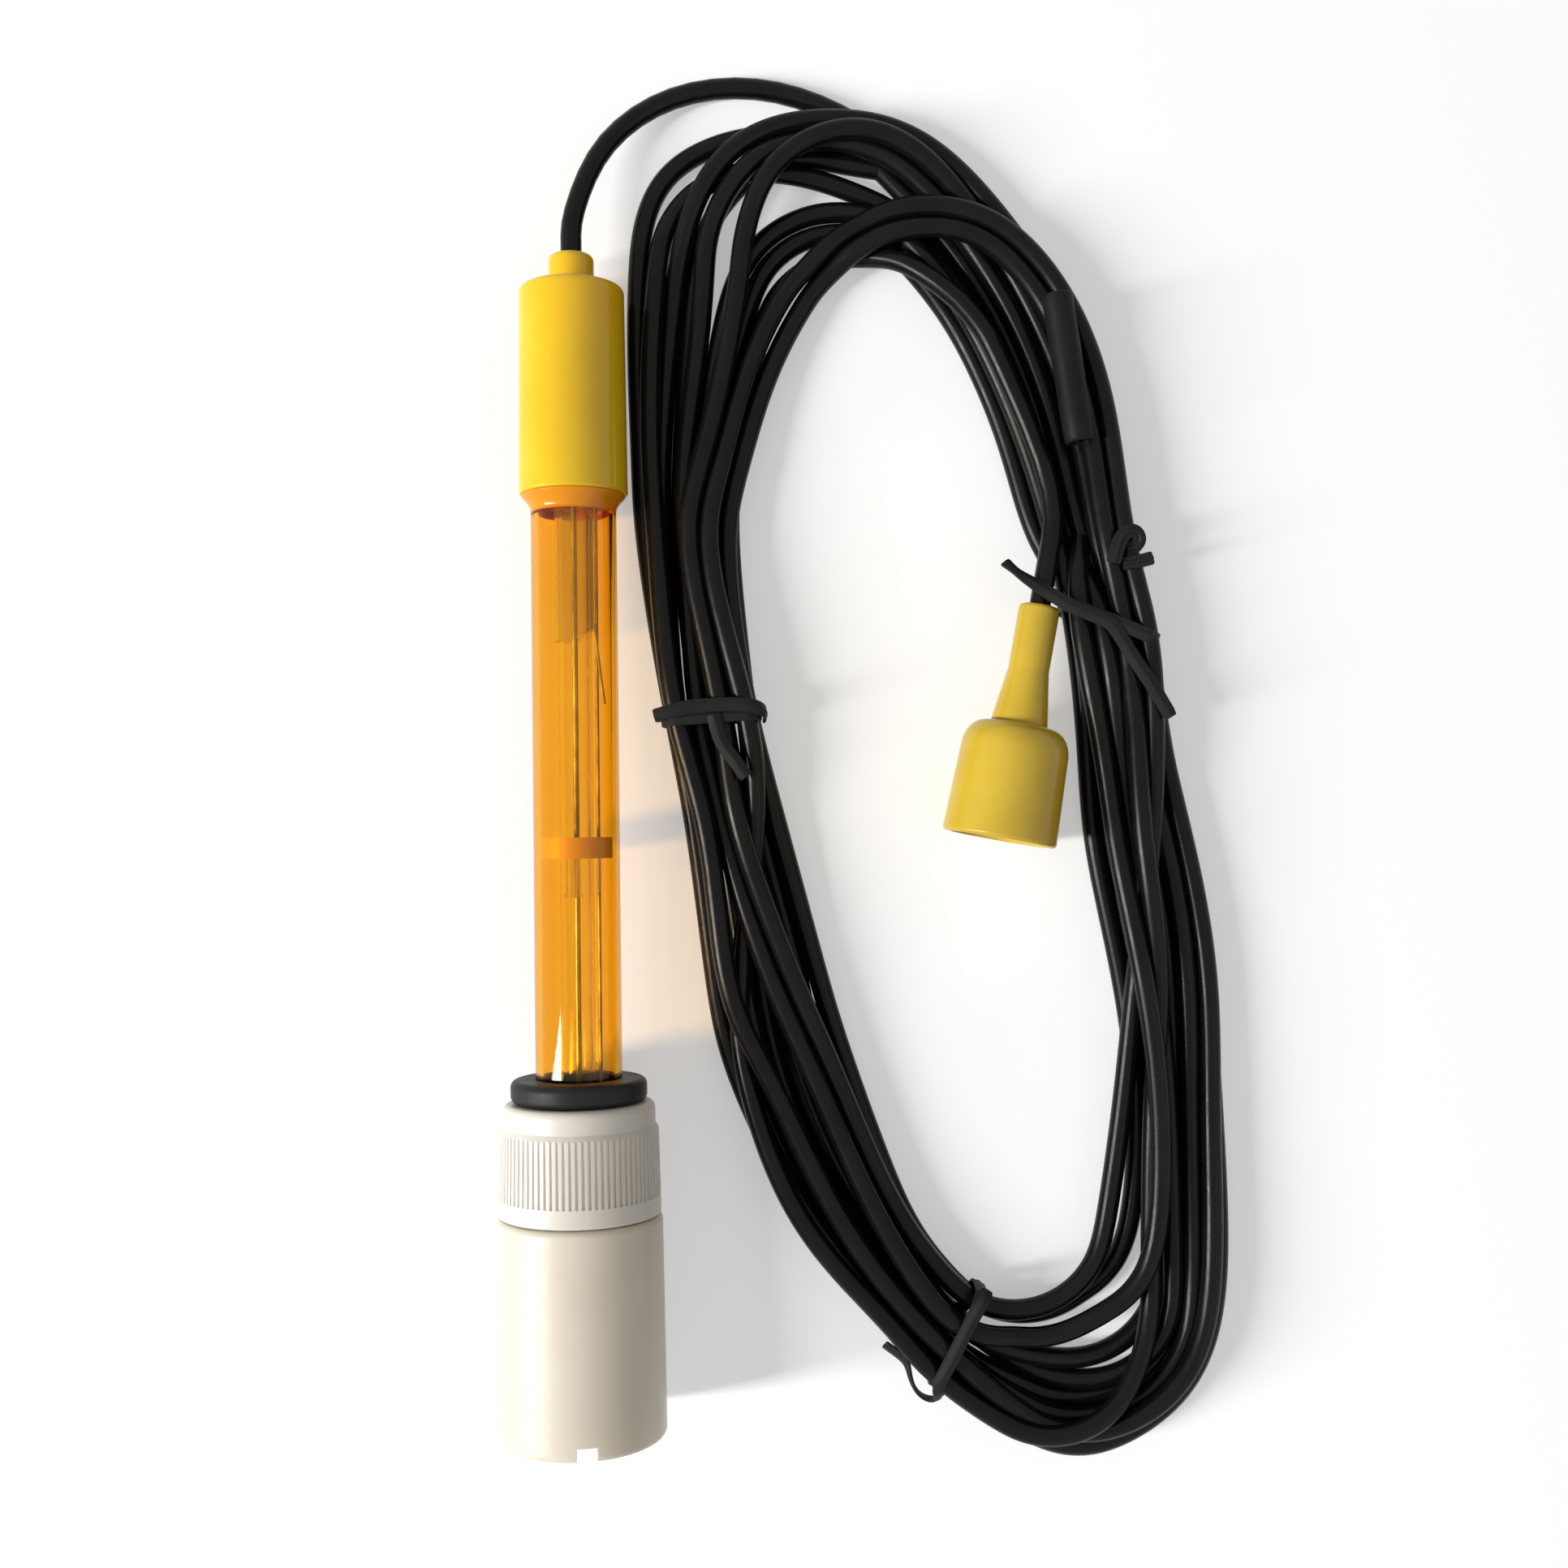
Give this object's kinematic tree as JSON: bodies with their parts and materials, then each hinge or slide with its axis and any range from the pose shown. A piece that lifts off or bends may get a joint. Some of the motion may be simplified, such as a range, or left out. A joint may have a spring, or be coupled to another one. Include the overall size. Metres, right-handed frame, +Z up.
{
  "type": "ph electrode",
  "caption": "Combination pH electrode with a clear amber tube, yellow cap, wetting bottle, tied coil of cable and a bayonet plug.",
  "frame": {"origin": "on the surface it lies on, below the middle of the electrode's length (cord nodes not counted)", "axes": "+Y along the electrode towards its cable end, +X towards the coil, +Z up"},
  "size_m": [0.1023, 0.1982, 0.0241],
  "materials": {
    "amber_plastic": "clear amber, gloss",
    "yellow_plastic": "moulded, satin gloss",
    "amber_resin": "cast resin, gloss",
    "clear_glass": "clear glass",
    "silver_wire": "drawn silver",
    "clear_sleeve": "clear, gloss",
    "separator_plastic": "moulded, matt",
    "white_ceramic": "porous ceramic, matt",
    "black_rubber": "moulded rubber, satin",
    "white_lid": "moulded, satin",
    "white_bottle": "blown polythene, satin",
    "yellow_vinyl": "soft moulded vinyl, satin",
    "nickel_plate": "bright nickel plate",
    "gold_plate": "gold plate",
    "white_insulator": "waxy, satin",
    "red_gasket": "soft rubber",
    "black_cable": "extruded vinyl, satin",
    "black_shrink": "shrunk tube, satin",
    "black_tie": "flat plastic ribbon, gloss"
  },
  "bodies": {
    "electrode": {"body_tube": "amber_plastic", "tube_cap": "yellow_plastic", "potting_plug": "amber_resin", "glass_stem": "clear_glass", "inner_wire": "silver_wire", "stem_stopper": "amber_resin", "stem_sleeve": "clear_sleeve", "separator": "separator_plastic", "tip_plug": "amber_resin", "ceramic_junction": "white_ceramic", "reference_wire": "silver_wire", "reference_sleeve": "clear_sleeve", "junction_rod": "white_ceramic", "pigtail": "silver_wire", "plug_body": "nickel_plate", "snap_ring": "nickel_plate", "insulator": "white_insulator", "centre_pin": "gold_plate", "front_gasket": "red_gasket", "crimp_ferrule": "nickel_plate", "strain_relief": "yellow_vinyl", "cable_lead": "black_cable", "cable_tail": "black_cable", "cable_coil": "black_cable", "shrink_sleeve": "black_shrink", "tie_left": "black_tie", "tie_right": "black_tie", "tie_bottom": "black_tie"},
    "collar": {"collar": "black_rubber"},
    "closure": {"bottle_seal": "black_rubber"},
    "lid": {"bottle_lid": "white_lid"},
    "bottle": {"bottle": "white_bottle"},
    "nut_float": {"spring_washer": "nickel_plate"},
    "nut": {"coupling_nut": "nickel_plate", "bell_sleeve": "yellow_vinyl"}
  },
  "joints": [
    {"name": "collar_slide", "type": "slide", "parent": "electrode", "child": "collar", "axis": [0, 0.9995, -0.031], "range_m": [0, 0.06]},
    {"name": "closure_slide", "type": "slide", "parent": "electrode", "child": "closure", "axis": [0, -0.9995, 0.031], "range_m": [0, 0.06]},
    {"name": "lid_turn", "type": "hinge", "parent": "closure", "child": "lid", "pos_m": [0, -0.03646, 0.01088], "axis": [0, 0.9995, -0.031], "range_deg": [0, 540]},
    {"name": "bottle_unscrew", "type": "slide", "parent": "closure", "child": "bottle", "axis": [0, -0.9995, 0.031], "range_m": [0, 0.0045]},
    {"name": "nut_push", "type": "slide", "parent": "electrode", "child": "nut_float", "axis": [-0.1907, -0.9808, 0.0403], "range_m": [0, 0.0008], "stiffness_N_per_m": 2500},
    {"name": "nut_turn", "type": "hinge", "parent": "nut_float", "child": "nut", "pos_m": [0.05931, -0.00031, 0.00807], "axis": [0.1907, 0.9808, -0.0403], "continuous": true}
  ],
  "couplings": [
    {"joint": "lid_turn", "follows": "bottle_unscrew", "rad_per_m": 2094.4}
  ]
}
